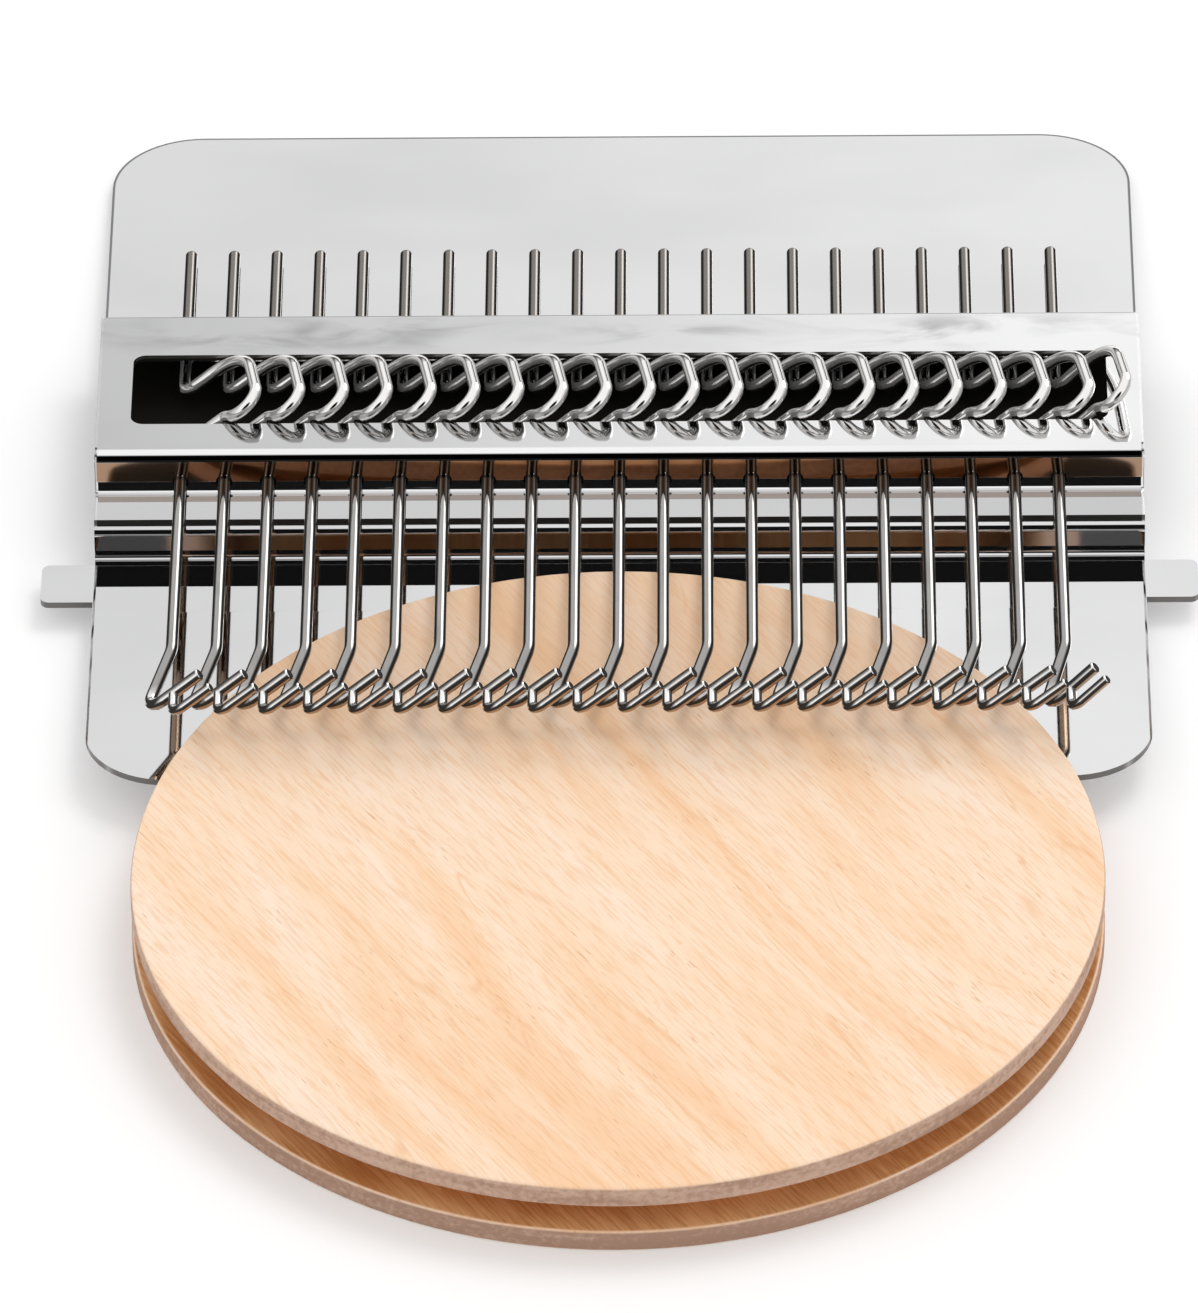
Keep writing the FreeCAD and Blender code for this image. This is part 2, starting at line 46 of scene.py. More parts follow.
class Signal:
    """The output of a shader node, which plain arithmetic can use."""

    def __init__(self, graph: "Graph", socket: bpy.types.NodeSocket) -> None:
        """Keep the socket and the graph that it is in."""
        self.graph = graph
        self.socket = socket

    def maths(self, operation: str, *others: "Signal | float") -> "Signal":
        """Return the result of a Math node that works on this signal and others."""
        sockets = dict(enumerate((self, *others)))
        return self.graph.node("ShaderNodeMath", {"operation": operation}, sockets)

    def __add__(self, other: "Signal | float") -> "Signal":
        """Return the sum."""
        return self.maths("ADD", other)

    __radd__ = __add__

    def __sub__(self, other: "Signal | float") -> "Signal":
        """Return what is left of this signal."""
        return self.maths("SUBTRACT", other)

    def __rsub__(self, other: float) -> "Signal":
        """Return what is left of a number."""
        return self.maths("MULTIPLY", -1.0) + other

    def __mul__(self, other: "Signal | float") -> "Signal":
        """Return the product."""
        return self.maths("MULTIPLY", other)

    __rmul__ = __mul__

    def __abs__(self) -> "Signal":
        """Return the size of this signal, without its sign."""
        return self.maths("ABSOLUTE")

    def either(self, other: "Signal | float") -> "Signal":
        """Return the larger of the two."""
        return self.maths("MAXIMUM", other)

    def below(self, limit: float) -> "Signal":
        """Return how far this signal lies under a limit, as a negative number, and 0 above it."""
        return (self - limit).maths("MINIMUM", 0.0)


class Graph:
    """The node graph of one material or world."""

    def __init__(self, owner: bpy.types.Material | bpy.types.World) -> None:
        """Start with an empty graph and its output node.

        Args:
            owner: the material or world that the graph belongs to.
        """
        owner.use_nodes = True
        self.tree = owner.node_tree
        self.tree.nodes.clear()
        is_world = isinstance(owner, bpy.types.World)
        kind = "ShaderNodeOutputWorld" if is_world else "ShaderNodeOutputMaterial"
        self.output = self.tree.nodes.new(kind)

    def node(self, kind: str, settings: dict[str, object] | None = None,
             sockets: dict[str | int, object] | None = None, output: str | int = 0) -> Signal:
        """Add one node.

        Args:
            kind: the node's type.
            settings: its own settings, set before its sockets. A ramp takes its stops as "stops".
            sockets: the value of each input, or the signal linked to it.
            output: which of its outputs is wanted.

        Returns:
            That output.
        """
        made = self.tree.nodes.new(kind)
        for name, value in (settings or {}).items():
            if name == "stops":
                self.set_stops(made.color_ramp, value)
            else:
                setattr(made, name, value)
        for name, value in (sockets or {}).items():
            if isinstance(value, Signal):
                self.tree.links.new(value.socket, made.inputs[name])
            else:
                made.inputs[name].default_value = value
        return Signal(self, made.outputs[output])

    @staticmethod
    def set_stops(ramp: bpy.types.ColorRamp, stops: tuple[tuple[float, Triple], ...]) -> None:
        """Give a ramp its stops.

        Args:
            ramp: the ramp of a new node.
            stops: the place and the colour of each stop.
        """
        while len(ramp.elements) < len(stops):
            ramp.elements.new(1.0)
        for element, (place, colour) in zip(ramp.elements, stops):
            element.position = place
            element.color = (*colour, 1.0)

    def mask(self, signal: Signal, low: float, high: float) -> Signal:
        """Return 0 where a signal is at the low value, 1 at the high one, and a soft step between."""
        sockets = {"Value": signal, "From Min": low, "From Max": high}
        return self.node("ShaderNodeMapRange", {"interpolation_type": "SMOOTHSTEP"}, sockets, "Result")

    def mask_mm(self, signal: Signal, low: float, high: float) -> Signal:
        """Return the same mask of a signal in metres, between two values in millimetres."""
        return self.mask(signal, low * MM, high * MM)

    def window(self, signal: Signal, rise: Pair, fall: Pair) -> Signal:
        """Return a mask that comes up over one span of a signal and goes down over another."""
        return self.mask(signal, *rise) * self.mask(signal, fall[1], fall[0])

    def between(self, signal: Signal, low: float, high: float, soft: float) -> Signal:
        """Return where a signal in metres lies between two values in millimetres.

        Args:
            signal: the place along an axis.
            low: where the mask begins.
            high: where it ends.
            soft: half the width of its soft ends.

        Returns:
            1 between the two and 0 elsewhere.
        """
        begun = self.mask_mm(signal, low - soft, low + soft)
        return begun * self.mask_mm(signal, high + soft, high - soft)

    def blend(self, factor: Signal | float, first: Signal | Triple,
              second: Signal | Triple) -> Signal:
        """Return two colours mixed.

        Args:
            factor: how much of the second there is.
            first: a colour, or the signal of one.
            second: the other colour, or its signal.

        Returns:
            The mixed colour.
        """
        sockets = {MIX_FACTOR: factor}
        for place, value in ((MIX_FIRST, first), (MIX_SECOND, second)):
            sockets[place] = value if isinstance(value, Signal) else (*value, 1.0)
        return self.node("ShaderNodeMix", {"data_type": "RGBA"}, sockets, MIX_RESULT)

    def place(self, turn: float = 0.0) -> Signal:
        """Return the object's own coordinates in metres, turned about Z by an angle in radians."""
        local = self.node("ShaderNodeTexCoord", {}, {}, "Object")
        return self.node("ShaderNodeMapping", {}, {"Vector": local, "Rotation": (0.0, 0.0, turn)})

    def facing(self) -> Signal:
        """Return the way the surface faces, along the object's own axes."""
        return self.node("ShaderNodeTexCoord", {}, {}, "Normal")

    def part(self, vector: Signal, axis: Axis) -> Signal:
        """Return the part of a vector along one axis."""
        return self.node("ShaderNodeSeparateXYZ", {}, {"Vector": vector}, axis.value)

    def vector(self, operation: str, sockets: dict[str | int, object],
               output: str = "Vector") -> Signal:
        """Return the result of a Vector Math node."""
        return self.node("ShaderNodeVectorMath", {"operation": operation}, sockets, output)

    def along(self, vector: Signal, direction: Triple) -> Signal:
        """Return how far a vector goes in a direction."""
        return self.vector("DOT_PRODUCT", {0: vector, 1: direction}, "Value")

    def length(self, vector: Signal) -> Signal:
        """Return a vector's length."""
        return self.vector("LENGTH", {0: vector}, "Value")

    def shift(self, where: Signal, direction: Triple, distance: Signal) -> Signal:
        """Return coordinates moved in a direction by a distance that varies."""
        step = self.vector("SCALE", {0: direction, "Scale": distance})
        return self.vector("ADD", {0: where, 1: step})

    def bump(self, height: Signal) -> Signal:
        """Return the normal that a height in metres gives."""
        return self.node("ShaderNodeBump", {}, {"Height": height, "Distance": 1.0, "Strength": 1.0})

    def surface(self, sockets: dict[str, object]) -> None:
        """Finish the graph with a Principled shader that has these inputs."""
        self.finish(self.node("ShaderNodeBsdfPrincipled", {}, sockets))

    def finish(self, shader: Signal) -> None:
        """Link a shader to the graph's output."""
        self.tree.links.new(shader.socket, self.output.inputs["Surface"])


def new_graph(name: str) -> tuple[bpy.types.Material, Graph]:
    """Return a new material and its empty graph."""
    material = bpy.data.materials.new(name)
    return material, Graph(material)


def dress(piece: bpy.types.Object, material: bpy.types.Material) -> bpy.types.Object:
    """Give a piece one material all over.

    Args:
        piece: the piece.
        material: its finish.

    Returns:
        The piece.
    """
    for place in piece.material_slots:
        place.material = material
    if not piece.material_slots:
        piece.data.materials.append(material)
    return piece


@dataclass(frozen=True)
class Pattern:
    """A noise pattern with cells in millimetres, and the values between which it comes to show."""

    cells: Triple
    detail: float = 2.0
    rough: float = 0.5
    warp: float = 0.0
    low: float = 0.0
    high: float = 1.0

    def value(self, graph: Graph, where: Signal) -> Signal:
        """Return the pattern's value.

        Args:
            graph: the material's graph.
            where: the coordinates in metres.

        Returns:
            A number that stays near a half.
        """
        scale = tuple(1.0 / (size * MM) for size in self.cells)
        spread = graph.node("ShaderNodeMapping", {}, {"Vector": where, "Scale": scale})
        sockets = {"Vector": spread, "Scale": 1.0, "Detail": self.detail, "Roughness": self.rough,
                   "Distortion": self.warp}
        return graph.node("ShaderNodeTexNoise", {}, sockets)

    def shown(self, graph: Graph, value: Signal) -> Signal:
        """Return how much the pattern shows where it has a value."""
        return graph.mask(value, self.low, self.high)

    def mask(self, graph: Graph, where: Signal) -> Signal:
        """Return how much the pattern shows at each place."""
        return self.shown(graph, self.value(graph, where))


@dataclass(frozen=True)
class Band:
    """A band of a sheet with a painted reflection of its own, between two places along an axis, in
    millimetres.

    It ends at its rear and at its half width, so that it leaves out the ears.
    """

    axis: Axis
    low: float
    high: float
    tint: Triple
    rear: float = PAST_CHANNEL
    half: float = 47.6
    soft: float = 0.08

    def mask(self, graph: Graph, here: Signal) -> Signal:
        """Return where the band is.

        Args:
            graph: the material's graph.
            here: the object's own coordinates.

        Returns:
            1 in the band and 0 elsewhere.
        """
        inside = graph.between(graph.part(here, self.axis), self.low, self.high, self.soft)
        depth, across = graph.part(here, Axis.Y), abs(graph.part(here, Axis.X))
        inside = inside * graph.mask_mm(depth, self.rear + self.soft, self.rear - self.soft)
        return inside * graph.mask_mm(across, self.half + self.soft, self.half - self.soft)


@dataclass(frozen=True)
class Slope:
    """A part of a sheet that reflects as if it weren't quite flat or square.

    Between two places along an axis it seems to lean by an angle. Only the bump does that, and the mesh
    stays flat there. The ears, which lie outside its half width, are left out. Millimetres and degrees.
    """

    axis: Axis
    low: float
    high: float
    angle: float
    half: float = 47.6
    soft: float = 0.1

    def height(self, graph: Graph, here: Signal) -> Signal:
        """Return the height that tips what the sheet reflects there.

        Args:
            graph: the material's graph.
            here: the object's own coordinates.

        Returns:
            A height in metres, for a bump.
        """
        along = graph.part(here, self.axis)
        across = abs(graph.part(here, Axis.X))
        inside = graph.mask_mm(across, self.half + self.soft, self.half - self.soft)
        rise = along.below(self.high * MM) - along.below(self.low * MM)
        return rise * inside * math.tan(math.radians(self.angle))


@dataclass(frozen=True)
class Outline:
    """A painted dark line along a sheet's rear edge and its two round corners, a painted reflection, in
    millimetres.
    """

    half: float
    rear: float
    radius: float
    start: float
    width: float = 0.22
    soft: float = 0.05
    fade: float = 1.0
    tint: Triple = (0.20, 0.20, 0.205)

    def mask(self, graph: Graph, here: Signal) -> Signal:
        """Return where the line is: within its width of the edge, behind its start.

        Args:
            graph: the material's graph.
            here: the object's own coordinates.

        Returns:
            1 on the line and 0 elsewhere.
        """
        depth = graph.part(here, Axis.Y)
        across = (abs(graph.part(here, Axis.X)) - (self.half - self.radius) * MM).either(0.0)
        behind = (depth - (self.rear - self.radius) * MM).either(0.0)
        corner = graph.node("ShaderNodeCombineXYZ", {}, {"X": across, "Y": behind})
        edge = self.radius - self.width
        line = graph.mask_mm(graph.length(corner), edge - self.soft, edge + self.soft)
        return line * graph.mask_mm(depth, self.start, self.start + self.fade)


@dataclass(frozen=True)
class MirrorSteel:
    """Polished sheet steel: a clear reflection, a little wavy, faint cloudy marks, painted reflections
    and shade.

    Lengths are in millimetres and angles in degrees.

    Attributes:
        name: the material's name.
        left_painted_reflection: the steel's colour at its left end, a darker painted reflection of a
            sheet that isn't quite flat.
        right_painted_reflection: its colour at its right end, the other end of that painted reflection.
        walls: the front and the rear of each upright wall, which isn't a cut edge.
        inside: the front, the rear and the height over the tilted base of the part in the channel.
        marks: the parts with a painted tint of their own, painted reflections and shade, later ones over
            earlier ones.
        slopes: the parts that seem to lean.
        half_width: half the width over which that painted reflection changes.
        tilt: how far the sheet leans back from level.
        soft: half the width of the soft ends of what lies in the channel.
        inside_painted_shade: the near black in the channel, painted shade where shade falls.
        inside_shade_dull: how much less metal the sheet is there, so that its painted shade stays dark.
        cut_tint: the colour of the cut edges: their own duller steel, darkened further as a painted
            reflection.
        cut_facing: how squarely an edge faces sideways or forwards where it begins to count as cut.
        cloud_line: the depth of the line from side to side along which the cloudy smear lies.
    """

    name: str
    left_painted_reflection: Triple
    right_painted_reflection: Triple
    walls: tuple[Pair, ...]
    inside: Triple
    marks: tuple[Band | Outline, ...] = ()
    slopes: tuple[Slope, ...] = ()
    half_width: float = 48.0
    tilt: float = 4.1725
    soft: float = 0.05
    inside_painted_shade: Triple = (0.012, 0.011, 0.010)
    inside_shade_dull: float = 0.9
    inside_rough: float = 0.4
    cut_tint: Triple = (0.16, 0.155, 0.15)
    cut_facing: Pair = (0.55, 0.80)
    cut_rough: float = 0.25
    cloud_tint: Triple = (0.24, 0.24, 0.25)
    cloud_strength: float = 0.0
    cloud_line: float = 76.3
    cloud_reach: float = 4.5
    cloud_swirl: Pattern = Pattern((11.0, 4.5, 4.5), 3.0, 0.55, 0.8, low=0.40, high=0.74)
    cloud_patch: Pattern = Pattern((26.0, 30.0, 30.0), 1.0, low=0.40, high=0.62)
    cloud_patch_share: float = 0.75
    cloud_rough: float = 0.10
    stain: Pattern = Pattern((34.0, 16.0, 22.0), low=0.38, high=0.68)
    stain_strength: float = 0.10
    polish: Pattern = Pattern((9.0, 0.5, 0.5), 3.0)
    roughness: float = 0.035
    rough_spread: float = 0.03
    wave: Pattern = Pattern((22.4, 14.0, 14.0), 1.0)
    wave_depth: float = 0.03

    def material(self) -> bpy.types.Material:
        """Make the finish.

        Returns:
            Its material.
        """
        material, graph = new_graph(self.name)
        here = graph.place()
        cloud = self.clouds(graph, here)
        cut = self.cut_edges(graph, here)
        hidden = self.hidden(graph, here)
        rough = self.polish.value(graph, here) * self.rough_spread + cloud * self.cloud_rough
        rough = rough + cut * self.cut_rough + hidden * self.inside_rough + self.roughness
        # Cut edges: rougher steel, and darker as a painted reflection.
        colour = graph.blend(cut, self.face(graph, here, cloud), self.cut_tint)
        graph.surface({
            # Painted shade: near black and hardly metal in the channel.
            "Base Color": graph.blend(hidden, colour, self.inside_painted_shade),
            "Metallic": 1.0 - hidden * self.inside_shade_dull,
            "Specular IOR Level": 0.0,
            "Roughness": rough,
            "Normal": graph.bump(self.height(graph, here)),
        })
        return material

    def face(self, graph: Graph, here: Signal, cloud: Signal) -> Signal:
        """Return the colour of the sheet's polished faces, with its painted reflections and shade.

        Args:
            graph: the material's graph.
            here: the object's own coordinates.
            cloud: where the cloudy smear is.

        Returns:
            The colour, with its painted marks and its stains.
        """
        # Painted reflection: darker at the left end than at the right one.
        across = graph.mask_mm(graph.part(here, Axis.X), -self.half_width, self.half_width)
        colour = graph.blend(across, self.left_painted_reflection, self.right_painted_reflection)
        # Painted reflections and painted shade, one mark over another.
        for mark in self.marks:
            colour = graph.blend(mark.mask(graph, here), colour, mark.tint)
        dull = cloud + self.stain.mask(graph, here) * self.stain_strength
        return graph.blend(dull, colour, self.cloud_tint)

    def height(self, graph: Graph, here: Signal) -> Signal:
        """Return the sheet's waves and slopes.

        Args:
            graph: the material's graph.
            here: the object's own coordinates.

        Returns:
            A height in metres, for a bump.
        """
        height = self.wave.value(graph, here) * (self.wave_depth * MM)
        for slope in self.slopes:
            height = height + slope.height(graph, here)
        return height

    def clouds(self, graph: Graph, here: Signal) -> Signal:
        """Return where the sheet has a cloudy smear: along one line from side to side.

        Args:
            graph: the material's graph.
            here: the object's own coordinates.

        Returns:
            Its strength at each place.
        """
        share = self.cloud_patch_share
        patches = self.cloud_patch.mask(graph, here) * share + (1.0 - share)
        away = abs(graph.part(here, Axis.Y) - self.cloud_line * MM)
        near = 1.0 - graph.mask_mm(away, 0.0, self.cloud_reach)
        return self.cloud_swirl.mask(graph, here) * patches * near * self.cloud_strength

    def cut_edges(self, graph: Graph, here: Signal) -> Signal:
        """Return where the sheet is cut: its upright faces, apart from its walls, and its ends.

        Args:
            graph: the material's graph.
            here: the object's own coordinates.

        Returns:
            1 on a cut edge and 0 elsewhere.
        """
        facing = graph.facing()
        ends = graph.mask(abs(graph.part(facing, Axis.X)), *self.cut_facing)
        upright = graph.mask(abs(graph.part(facing, Axis.Y)), *self.cut_facing)
        depth = graph.part(here, Axis.Y)
        for front, rear in self.walls:
            middle, half = (front + rear) / 2, (rear - front) / 2
            upright = upright * graph.mask_mm(abs(depth - middle * MM), half, half + self.soft)
        return ends.either(upright)

    def hidden(self, graph: Graph, here: Signal) -> Signal:
        """Return where the sheet lies in the channel, where it gets painted shade.

        Args:
            graph: the material's graph.
            here: the object's own coordinates.

        Returns:
            1 in the channel and 0 elsewhere.
        """
        front, rear, level = self.inside
        depth = graph.part(here, Axis.Y)
        over = graph.part(here, Axis.Z) + depth * math.tan(math.radians(self.tilt))
        within = graph.between(depth, front, rear, self.soft)
        return within * graph.mask_mm(over, level, level - 2 * self.soft)


@dataclass(frozen=True)
class DrawnWire:
    """Bright hard wire, drawn through a die: painted highlights at crank and tip, a rougher, painted
    darker rod end.

    Its flanks and upper underside get painted shade, its lowest side a painted brown reflection. Lengths
    are in millimetres. A window gives the values over which it comes up, and those over which it goes.

    Attributes:
        name: the material's name.
        painted_shade_tint: the colour of the painted shade on the dark sides.
        painted_brown_reflection: the colour of the lowest side, a painted brown reflection of the wood
            below.
        down: the direction in which the lowest side faces, which places the painted shade and
            reflection.
        painted_shade_window: where the underside gets painted shade, as it turns down.
        painted_reflection_window: where it gets the painted brown reflection, as it turns down.
        flank_window: where the flanks get painted shade, as the wire turns sideways.
        flank_up: where a flank that faces down comes to get painted shade.
        painted_shade_strength: how dark the painted shade is.
        crank_relief: how much less so on the crank.
        tip: the depths between which the tip gets its painted highlight.
        crank: the depths between which the crank gets its painted highlight.
        rod: the depths between which the rod gets rougher, with a painted darker reflection.
    """

    name: str
    tint: Triple = (0.38, 0.37, 0.36)
    worn_tint: Triple = (0.28, 0.275, 0.265)
    worn_strength: float = 0.6
    painted_highlight_tint: Triple = (0.90, 0.89, 0.875)
    painted_shade_tint: Triple = (0.014, 0.012, 0.010)
    painted_brown_reflection: Triple = (0.42, 0.29, 0.20)
    rod_painted_reflection: Triple = (0.20, 0.185, 0.17)
    down: Triple = (0.0, -0.624, -0.781)
    painted_shade_window: tuple[Pair, Pair] = ((0.06, 0.24), (0.56, 0.72))
    painted_reflection_window: tuple[Pair, Pair] = ((0.42, 0.60), (0.90, 1.00))
    flank_window: tuple[Pair, Pair] = ((0.38, 0.66), (0.90, 0.97))
    flank_up: Pair = (-0.35, -0.15)
    painted_shade_strength: float = 0.97
    crank_relief: float = 0.57
    tip: Pair = (23.8, 21.8)
    crank: Pair = (56.5, 58.5)
    rod: Pair = (77.0, 82.0)
    lines: Pattern = Pattern((0.8, 7.0, 0.8), low=0.45, high=0.75)
    spots: Pattern = Pattern((1.5, 3.0, 1.5), 1.0)
    spot_depth: float = 0.004
    roughness: float = 0.05
    line_rough: float = 0.06
    rod_rough: float = 0.12

    def material(self) -> bpy.types.Material:
        """Make the finish.

        Returns:
            Its material.
        """
        material, graph = new_graph(self.name)
        here = graph.place()
        depth = graph.part(here, Axis.Y)
        down = graph.along(graph.facing(), self.down)
        rod = graph.mask_mm(depth, *self.rod)
        crank = graph.mask_mm(depth, *self.crank) * (1.0 - rod)
        # Painted shade: the upper underside and the flanks go near black and lose their metal.
        dark = graph.window(down, *self.painted_shade_window).either(self.flanks(graph))
        dark = dark * (self.painted_shade_strength - crank * self.crank_relief)
        # Painted reflection: the lowest side is brown, as if it mirrored the wood.
        low = graph.window(down, *self.painted_reflection_window) * (1.0 - crank)
        lines = self.lines.value(graph, here)
        worn = self.lines.shown(graph, lines) * self.worn_strength
        colour = graph.blend(worn, self.tint, self.worn_tint)
        # Painted highlight at the crank and the tip.
        colour = graph.blend(crank.either(graph.mask_mm(depth, *self.tip)), colour, self.painted_highlight_tint)
        # Painted darker reflection at the rod's end.
        colour = graph.blend(rod, colour, self.rod_painted_reflection)
        colour = graph.blend(low, colour, self.painted_brown_reflection)
        # Where the painted shade is, the wire is near black and not metal.
        graph.surface({
            "Base Color": graph.blend(dark, colour, self.painted_shade_tint),
            "Metallic": 1.0 - dark,
            "Specular IOR Level": 0.0,
            "Roughness": lines * self.line_rough + rod * self.rod_rough + self.roughness,
            "Normal": graph.bump(self.spots.value(graph, here) * (self.spot_depth * MM)),
        })
        return material

    def flanks(self, graph: Graph) -> Signal:
        """Return where the wire faces sideways, but not quite, and not down: its painted shade.

        Args:
            graph: the material's graph.

        Returns:
            1 on a flank and 0 elsewhere.
        """
        facing = graph.facing()
        flank = graph.window(abs(graph.part(facing, Axis.X)), *self.flank_window)
        return flank * graph.mask(graph.part(facing, Axis.Z), *self.flank_up)


@dataclass(frozen=True)
class SandedBirch:
    """Pale birch, sanded and bare: soft wavy bands, thin growth lines, flecks, and darker edges.

    Lengths are in millimetres and angles in degrees.

    Attributes:
        name: the material's name.
        groove_low: the level of the groove's floor, over the table.
        groove_high: the level of its roof.
        lip_radius: the radius just inside the two lips of the groove.
        tones: the stops of the wood's bands, from pale to warm.
        grain_turn: how far the grain is turned from the X axis.
        sway_reach: how far the bands swing from side to side.
        rear: the span over which the face gets warmer towards the rear, a painted warm shade under the
            hooks.
        side_facing: how far up the surface faces where it is a rim, and where it is a face.
    """

    name: str
    groove_low: float
    groove_high: float
    lip_radius: float
    tones: tuple[tuple[float, Triple], ...] = (
        (0.36, (0.965, 0.770, 0.615)), (0.50, (0.960, 0.725, 0.530)), (0.64, (0.940, 0.625, 0.400)))
    warm: Triple = (0.940, 0.625, 0.400)
    line: Triple = (0.830, 0.470, 0.235)
    fleck: Triple = (0.640, 0.330, 0.150)
    edge_pale: Triple = (0.630, 0.430, 0.325)
    edge_dark: Triple = (0.420, 0.260, 0.185)
    groove_tint: Triple = (0.540, 0.240, 0.082)
    groove_pale: Triple = (0.800, 0.480, 0.235)
    grain_turn: float = 56.7
    sway: Pattern = Pattern((55.0, 16.0, 16.0), 1.0)
    sway_direction: Triple = (0.0, 1.0, 0.0)
    sway_reach: float = 16.0
    bands: Pattern = Pattern((60.0, 7.0, 7.0), 2.0, 0.45)
    band_share: float = 0.74
    streaks: Pattern = Pattern((20.0, 1.1, 1.1), 2.0, 0.6)
    streak_share: float = 0.26
    rings: Pattern = Pattern((75.0, 11.0, 11.0), 1.0, 0.4)
    ring_count: float = 14.0
    ring_half: float = 0.10
    ring_strength: float = 0.45
    broken: Pattern = Pattern((9.0, 2.0, 2.0), low=0.48, high=0.66)
    flecks: Pattern = Pattern((2.2, 0.20, 0.20), 1.0, low=0.69, high=0.76)
    clusters: Pattern = Pattern((14.0, 7.0, 7.0), 1.0, low=0.44, high=0.62)
    fleck_strength: float = 0.70
    fibres: Pattern = Pattern((4.0, 0.26, 0.26), 2.0, 0.65, low=0.46, high=0.66)
    fibre_strength: float = 0.42
    fibre_depth: float = 0.02
    fibre_rough: float = 0.15
    roughness: float = 0.55
    gloss: float = 0.08
    rear: Pair = (12.0, 36.0)
    rear_painted_shade_strength: float = 0.30
    side_facing: Pair = (0.35, 0.85)
    mottle: Pattern = Pattern((0.6, 0.6, 0.45), 3.0, 0.6)
    layers: Pattern = Pattern((14.0, 14.0, 1.2))
    mottle_share: float = 0.5
    low_share: float = 0.10
    edge_span: Pair = (0.36, 0.66)
    fibre_share: float = 0.4
    groove_span: Pair = (0.38, 0.64)
    lip: Pair = (0.05, 0.20)
    lip_width: float = 0.25

    def material(self) -> bpy.types.Material:
        """Make the finish.

        Returns:
            Its material.
        """
        material, graph = new_graph(self.name)
        straight = graph.place(math.radians(self.grain_turn))
        fibres = self.fibres.value(graph, straight)
        face = self.face(graph, straight, fibres)
        graph.surface({
            "Base Color": self.edges(graph, face, fibres),
            "Roughness": fibres * self.fibre_rough + self.roughness,
            "Specular IOR Level": self.gloss,
            "Normal": graph.bump(fibres * (self.fibre_depth * MM)),
        })
        return material

    def face(self, graph: Graph, straight: Signal, fibres: Signal) -> Signal:
        """Return the colour of the sanded faces.

        Args:
            graph: the material's graph.
            straight: the object's own coordinates, turned to lie along the grain.
            fibres: the fine fibres.

        Returns:
            The colour, with its bands, growth lines, flecks and fibres, and painted warm shade at the
            rear.
        """
        sway = self.sway.value(graph, straight) - MIDDLE
        wavy = graph.shift(straight, self.sway_direction, sway * (self.sway_reach * MM))
        bands = self.bands.value(graph, wavy) * self.band_share
        bands = bands + self.streaks.value(graph, wavy) * self.streak_share
        colour = graph.node("ShaderNodeValToRGB", {"stops": self.tones}, {"Fac": bands})
        turns = (self.rings.value(graph, wavy) * self.ring_count).maths("FRACT")
        ring = graph.mask(abs(turns - MIDDLE), self.ring_half, 0.0)
        ring = ring * self.broken.mask(graph, straight)
        colour = graph.blend(ring * self.ring_strength, colour, self.line)
        flecks = self.flecks.mask(graph, straight) * self.clusters.mask(graph, straight)
        colour = graph.blend(flecks * self.fleck_strength, colour, self.fleck)
        thin = self.fibres.shown(graph, fibres)
        colour = graph.blend(thin * self.fibre_strength, colour, self.line)
        # Painted shade: warmer towards the rear, where the hooks shade the wood.
        rear = graph.mask_mm(graph.part(graph.place(), Axis.Y), *self.rear)
        return graph.blend(rear * self.rear_painted_shade_strength, colour, self.warm)

    def edges(self, graph: Graph, face: Signal, fibres: Signal) -> Signal:
        """Return the face's colour with the darker end grain of the rims and the groove.

        Args:
            graph: the material's graph.
            face: the colour of the sanded faces.
            fibres: the fine fibres.

        Returns:
            The colour of the whole disc.
        """
        here = graph.place()
        height = graph.part(here, Axis.Z)
        side = 1.0 - graph.mask(abs(graph.part(graph.facing(), Axis.Z)), *self.side_facing)
        layers = self.layers.value(graph, here)
        low = graph.mask_mm(height, self.groove_high, self.groove_low)
        grain = self.mottle.value(graph, here) * self.mottle_share + layers * (1.0 - self.mottle_share)
        grain = graph.mask(grain + low * self.low_share, *self.edge_span)
        rim = graph.blend(grain, self.edge_pale, self.edge_dark)
        turned = fibres * self.fibre_share + layers * (1.0 - self.fibre_share)
        turned = graph.mask(turned, *self.groove_span)
        turned = graph.blend(turned, self.groove_tint, self.groove_pale)
        return graph.blend(self.groove(graph, here), graph.blend(side, face, rim), turned)

    def groove(self, graph: Graph, here: Signal) -> Signal:
        """Return where the groove is: between its two lips and inside them.

        Args:
            graph: the material's graph.
            here: the object's own coordinates.

        Returns:
            1 in the groove and 0 elsewhere.
        """
        height = graph.part(here, Axis.Z)
        reach = graph.length(graph.vector("MULTIPLY", {0: here, 1: LEVEL}))
        near, far = self.lip
        inside = graph.mask_mm(height, self.groove_low - far, self.groove_low - near)
        inside = inside * graph.mask_mm(height, self.groove_high + far, self.groove_high + near)
        return inside * graph.mask_mm(reach, self.lip_radius, self.lip_radius - self.lip_width)


